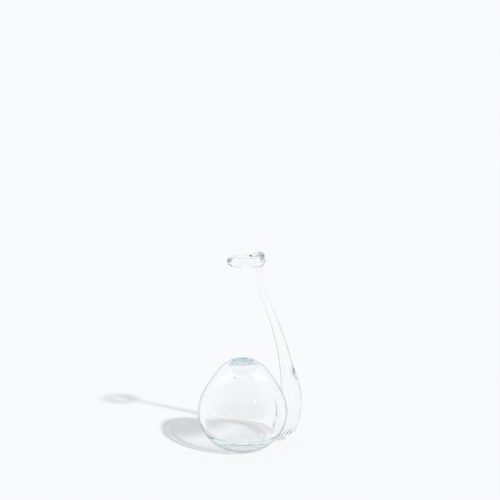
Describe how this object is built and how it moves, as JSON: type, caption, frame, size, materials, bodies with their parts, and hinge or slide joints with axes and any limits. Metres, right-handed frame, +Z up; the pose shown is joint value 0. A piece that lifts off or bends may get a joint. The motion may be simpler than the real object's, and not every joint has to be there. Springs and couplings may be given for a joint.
{
  "type": "glass bud vase",
  "caption": "Hand-blown clear glass bud vase: an onion-shaped bulb with a narrow mouth, and a glass arm holding a ring above it that keeps the stems upright.",
  "frame": {"origin": "centre of the flat foot, on the axis of the bulb, at the surface that the vase stands on", "axes": "+Z up along the axis of the bulb and its mouth; +X from that axis towards the glass arm; +Y completes the right-handed frame"},
  "size_m": [0.1104, 0.0914, 0.199],
  "materials": {
    "clear_glass": "gloss",
    "thick_glass": "gloss"
  },
  "bodies": {
    "root": {"bulb": "clear_glass", "support_arm": "thick_glass", "stem_ring": "thick_glass", "ring_lap": "thick_glass"}
  },
  "joints": []
}
